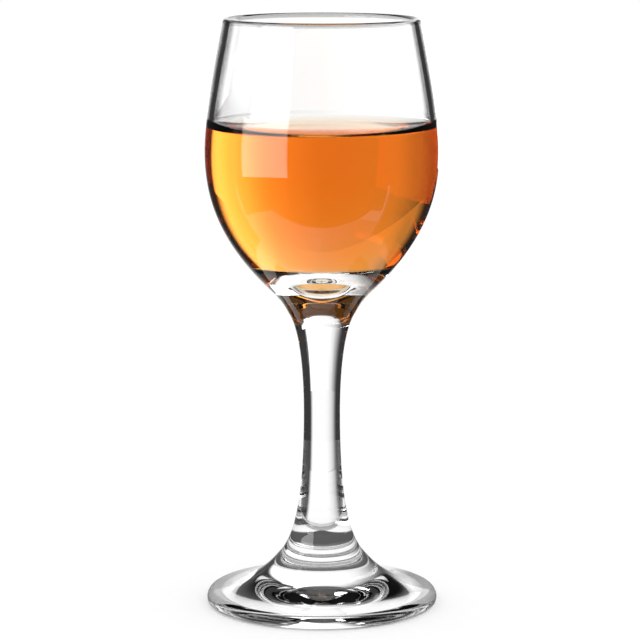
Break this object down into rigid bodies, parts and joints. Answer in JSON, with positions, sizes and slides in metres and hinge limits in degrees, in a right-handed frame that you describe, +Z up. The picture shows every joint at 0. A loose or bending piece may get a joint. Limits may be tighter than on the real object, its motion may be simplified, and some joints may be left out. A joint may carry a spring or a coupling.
{
  "type": "sherry glass",
  "caption": "Stemmed sherry glass with a tulip bowl, waisted stem and round hollow foot, part filled with a flat-topped amber drink.",
  "frame": {"origin": "centre of the resting plane under the foot", "axes": "+Z up along the axis of the stem; the glass is turned about Z, so X and Y are interchangeable"},
  "size_m": [0.0616, 0.0616, 0.156],
  "materials": {
    "clear_glass": "polished",
    "sherry": "gloss"
  },
  "bodies": {
    "root": {"bowl": "clear_glass", "stem": "clear_glass", "foot": "clear_glass", "sherry": "sherry"}
  },
  "joints": []
}
